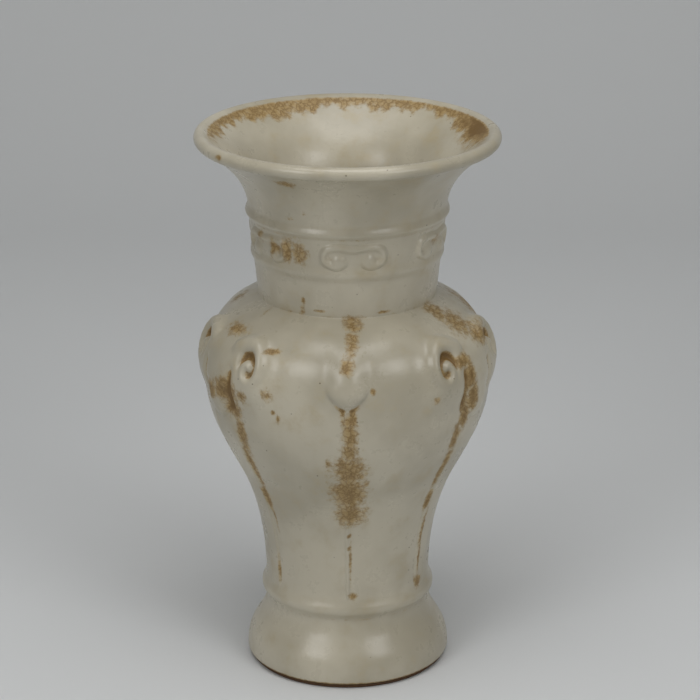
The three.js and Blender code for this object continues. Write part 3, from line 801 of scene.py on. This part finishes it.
def buildFootRim():
    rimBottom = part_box("foot_rim")[0].z
    outer = frontReach("foot_rim")
    inner = footRadius - vaseShape["footEdgeRound"] - vaseShape["footWall"]
    bevel = 0.7 * mm
    rows = np.array([
        (inner, footBottom), (inner, rimBottom + bevel), (inner + bevel, rimBottom), (outer - bevel, rimBottom),
        (outer, rimBottom + bevel), (outer, footBottom),
    ])
    columns = vaseShape["columns"]
    angles = np.linspace(0, 2 * math.pi, columns, endpoint=False)
    points = np.array([
        (radius * math.sin(a), -radius * math.cos(a), height) for radius, height in rows for a in angles
    ])
    faces = []
    for row in range(len(rows)):
        low = row * columns
        high = (row + 1) % len(rows) * columns
        for column in range(columns):
            after = (column + 1) % columns
            faces.append((low + column, low + after, high + after, high + column))
    return makeObject("bare_foot_rim", bendByHand(points), faces)


def finishPiece(piece, nodes, material=None):
    if material:
        piece.data.materials.clear()
        piece.data.materials.append(material)
    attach(piece, "root")
    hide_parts(*nodes)


ivoryGlaze = glazeMaterial("ivory_feldspar_glaze_fired", glazeLook, 1.0)
# the bosses' glaze: the same glaze with the dirt and painted shadow in its hollows 15% stronger
pooledGlazeAndShadow = glazeMaterial("pooled_feldspar_glaze_and_painted_shadow", glazeLook, 1.15)
bareClay = clayMaterial("bare_stoneware_wiped", clayLook)
print("materials made")

body = buildBody()
finishPiece(
    body,
    ["mouth_flare", "neck", "neck_upper_ring", "neck_lower_ring", "shoulder", "lower_body", "floor_disc",
     "waist_ring", "foot"],
    ivoryGlaze,
)
finishPiece(buildFootRim(), ["foot_rim"], bareClay)
print("body and foot rim made")

tree = ringTree()
third = 2 * math.pi / 3
sides = ("left", "right")
heads = reliefPatch(
    "ram_heads", 50 * mm, ramHead["centre"] - 33 * mm, shoulderTop - 0.5 * mm, 0.66 * mm, headLift,
    0.012 * mm, 0.75 * mm, headShade,
)
headNodes = [f"ram_head_{i}" for i in (1, 2, 3)] + [f"ram_horn_{i}_{side}" for i in (1, 2, 3) for side in sides]
finishPiece(setRound(heads, tree, 3, third / 2, ivoryGlaze), headNodes)
legs = reliefPatch(
    "leg_ribs", 22 * mm, waistCentre + 5 * mm, ramHead["centre"] - 12 * mm, 0.6 * mm, legLift, 0.008 * mm, 0.6 * mm,
)
finishPiece(setRound(legs, tree, 3, third / 2, ivoryGlaze), [f"leg_rib_{i}" for i in (1, 2, 3)])
bosses = reliefPatch(
    "shoulder_bosses", 25 * mm, waistCentre + 5 * mm, shoulderTop - 0.5 * mm, 0.74 * mm, bossLift, 0.01 * mm, 0.55 * mm,
    bossPaintedShadow,
)
bossNodes = [f"{kind}_{i}" for kind in ("boss", "boss_rib") for i in (1, 2, 3)]
finishPiece(setRound(bosses, tree, 3, 0, pooledGlazeAndShadow), bossNodes)
clouds = reliefPatch(
    "neck_clouds", 38 * mm, cloudScroll["centre"] - 9.2 * mm, cloudScroll["centre"] + 9.4 * mm, 0.55 * mm,
    cloudLift, 0.02 * mm, 0.75 * mm,
)
finishPiece(
    setRound(clouds, tree, 6, cloudScroll["turn"], ivoryGlaze), [f"cloud_{i}" for i in range(1, 7)],
)
print("reliefs made")

# Floor that sweeps up behind the vase
studio = {"floor": "#dcdedf", "depth": 1.3, "height": 2.2, "width": 6.0, "front": -3.0, "sweep": 0.5}


def buildFloor():
    s = studio
    arc = np.radians(np.linspace(-90, 0, 17))
    sweep = [(s["depth"] - s["sweep"] + s["sweep"] * math.cos(a), s["sweep"] + s["sweep"] * math.sin(a)) for a in arc]
    line = [(s["front"], 0), *sweep, (s["depth"], s["height"])]
    points = np.array([(side * s["width"] / 2, y, z) for y, z in line for side in (-1, 1)])
    faces = [(2 * i, 2 * i + 1, 2 * i + 3, 2 * i + 2) for i in range(len(line) - 1)]
    floor = makeObject("studio_floor", points, faces)
    material = bpy.data.materials.new("matt_paper_backdrop")
    material.use_nodes = True
    paper = material.node_tree.nodes["Principled BSDF"]
    paper.inputs["Base Color"].default_value = toLinear(s["floor"])
    paper.inputs["Roughness"].default_value = 0.9
    floor.data.materials.append(material)


def addLamp(name, place, aim, size, power):
    light = bpy.data.lights.new(name, "AREA")
    light.shape = "RECTANGLE"
    light.size, light.size_y = size
    light.energy = power
    lamp = bpy.data.objects.new(name, light)
    bpy.context.collection.objects.link(lamp)
    lamp.location = place
    lamp.rotation_euler = (Vector(aim) - Vector(place)).to_track_quat("-Z", "Y").to_euler()


lampLook = {
    "left_softbox": ((-1.0, -1.25, 1.0), (0.7, 0.6), 6.1),
    "right_softbox": ((1.05, -1.2, 1.1), (0.7, 0.6), 6.1),
    "top_softbox": ((0.0, -0.35, 1.5), (1.1, 0.9), 9.5),
}
cameraLook = {
    "aim": 176.3 * mm,        # height of the point in the middle of the picture
    "side": 1.36 * mm,
    "distance": 1.465,
    "elevation": math.radians(19.3),
    "lens": 138.9,
}


def buildCamera():
    c = cameraLook
    data = bpy.data.cameras.new("photo_view")
    data.lens = c["lens"]
    data.sensor_width = 36
    camera = bpy.data.objects.new("photo_view", data)
    bpy.context.collection.objects.link(camera)
    back = Vector((0, -math.cos(c["elevation"]), math.sin(c["elevation"])))
    camera.location = Vector((c["side"], 0, c["aim"])) + c["distance"] * back
    camera.rotation_euler = (math.pi / 2 - c["elevation"], 0, 0)
    bpy.context.scene.camera = camera


buildFloor()
for name, (place, size, power) in lampLook.items():
    addLamp(name, place, (0, 0, 0.16), size, power)
buildCamera()
world = bpy.data.worlds.new("studio_air")
bpy.context.scene.world = world
world.use_nodes = True
world.node_tree.nodes["Background"].inputs["Color"].default_value = toLinear("#e4e2dc")
world.node_tree.nodes["Background"].inputs["Strength"].default_value = 0.16
bpy.context.scene.view_settings.view_transform = "Standard"
print("studio made")

print("scene done")
